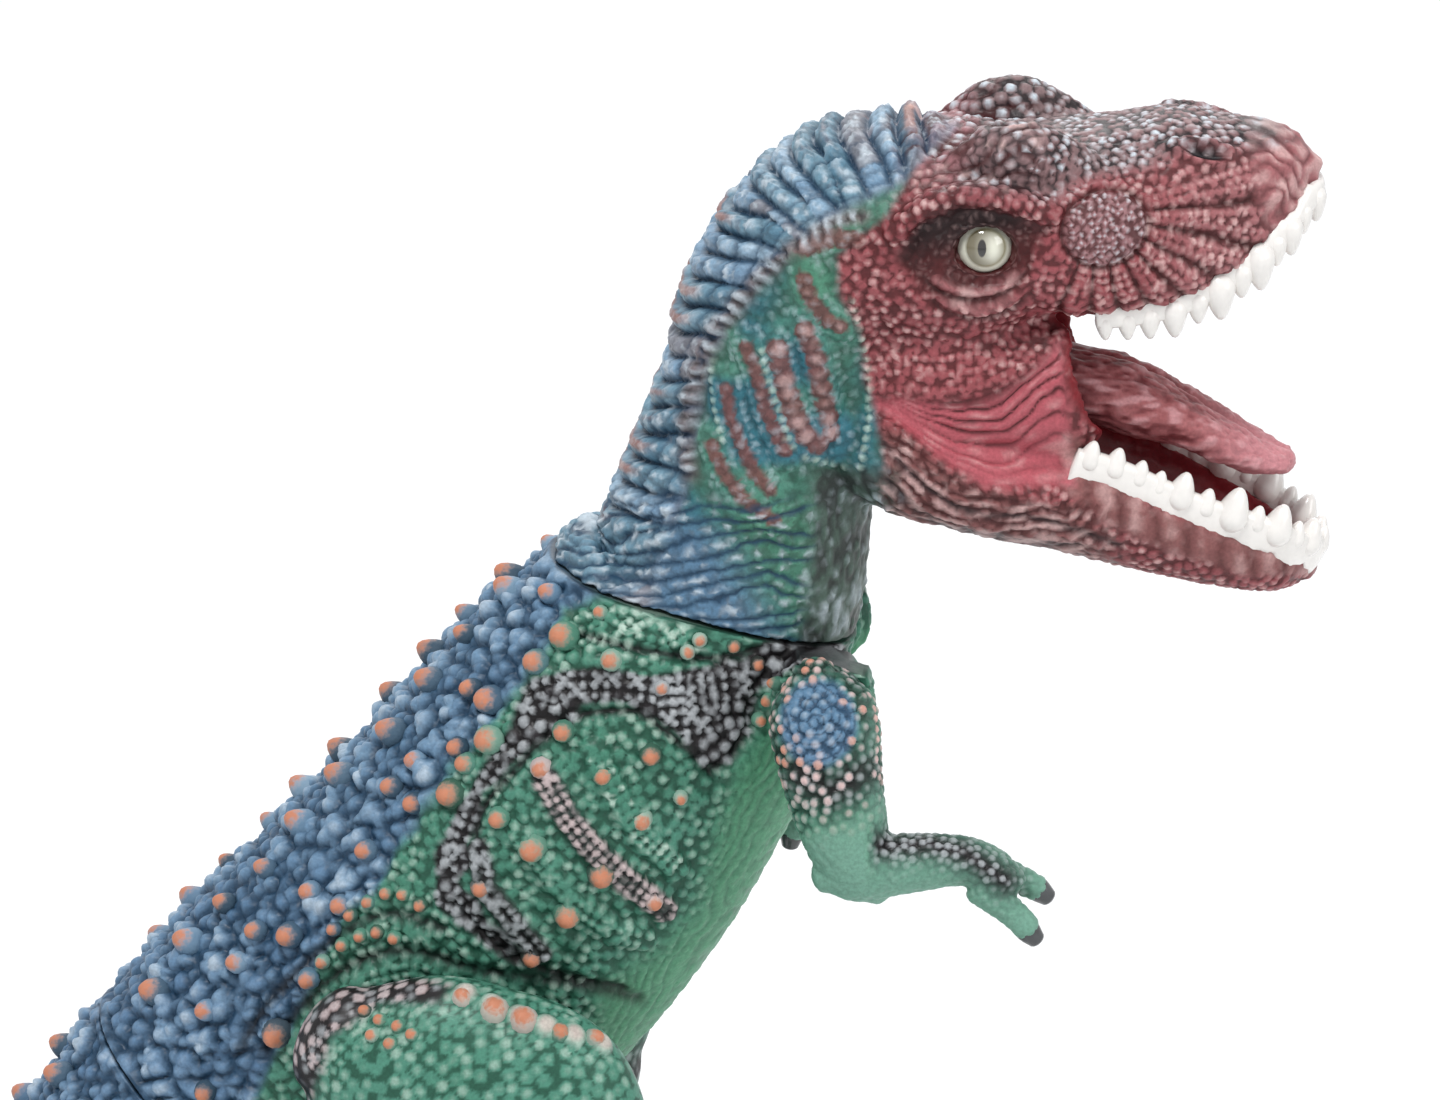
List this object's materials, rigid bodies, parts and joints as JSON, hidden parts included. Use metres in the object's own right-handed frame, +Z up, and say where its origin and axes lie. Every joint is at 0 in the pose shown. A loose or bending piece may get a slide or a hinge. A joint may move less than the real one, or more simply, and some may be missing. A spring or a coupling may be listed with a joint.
{
  "type": "toy dinosaur figure",
  "caption": "Standing meat-eating dinosaur figure, jaws open: hollow soft castings that turn on spools at the neck, shoulders, hips and tail.",
  "frame": {"origin": "on the floor, under the middle of the figure's bounding box", "axes": "+X is the way the figure faces, +Y its left side, +Z up"},
  "size_m": [0.463, 0.1362, 0.33],
  "materials": {
    "torso_vinyl": "satin, painted",
    "head_vinyl": "satin, painted",
    "tongue_vinyl": "satin, painted",
    "arm_vinyl": "satin, painted",
    "leg_vinyl": "satin, painted",
    "tail_vinyl": "satin, painted",
    "tooth_plastic": "gloss",
    "eye_plastic": "gloss",
    "spool_plastic": "as moulded"
  },
  "bodies": {
    "torso": {"torso_shell": "torso_vinyl"},
    "head": {"head_and_neck_shell": "head_vinyl", "neck_spool": "spool_plastic", "upper_teeth": "tooth_plastic", "lower_teeth": "tooth_plastic", "tongue": "tongue_vinyl", "left_eye": "eye_plastic", "right_eye": "eye_plastic"},
    "tail": {"tail_shell": "tail_vinyl", "tail_spool": "spool_plastic"},
    "left_leg": {"left_leg_shell": "leg_vinyl", "left_hip_spool": "spool_plastic"},
    "right_leg": {"right_leg_shell": "leg_vinyl", "right_hip_spool": "spool_plastic"},
    "left_arm": {"left_arm_shell": "arm_vinyl", "left_shoulder_spool": "spool_plastic"},
    "right_arm": {"right_arm_shell": "arm_vinyl", "right_shoulder_spool": "spool_plastic"}
  },
  "joints": [
    {"name": "neck_swivel", "type": "hinge", "parent": "torso", "child": "head", "pos_m": [0.10102, 0, 0.21851], "axis": [0.2588, 0, 0.9659], "range_deg": [-45, 45]},
    {"name": "tail_swivel", "type": "hinge", "parent": "torso", "child": "tail", "pos_m": [-0.00999, 0, 0.09497], "axis": [-0.7193, 0, -0.6947], "range_deg": [-20, 20]},
    {"name": "left_shoulder", "type": "hinge", "parent": "torso", "child": "left_arm", "pos_m": [0.12167, 0.02993, 0.20436], "axis": [0, -1, 0], "range_deg": [-15, 110]},
    {"name": "right_shoulder", "type": "hinge", "parent": "torso", "child": "right_arm", "pos_m": [0.12167, -0.02993, 0.20436], "axis": [0, -1, 0], "range_deg": [-65, 60]},
    {"name": "left_hip", "type": "hinge", "parent": "torso", "child": "left_leg", "pos_m": [0.03699, 0.03504, 0.122], "axis": [0, -1, 0], "range_deg": [-25, 35]},
    {"name": "right_hip", "type": "hinge", "parent": "torso", "child": "right_leg", "pos_m": [0.03699, -0.03504, 0.122], "axis": [0, -1, 0], "range_deg": [-25, 35]}
  ]
}
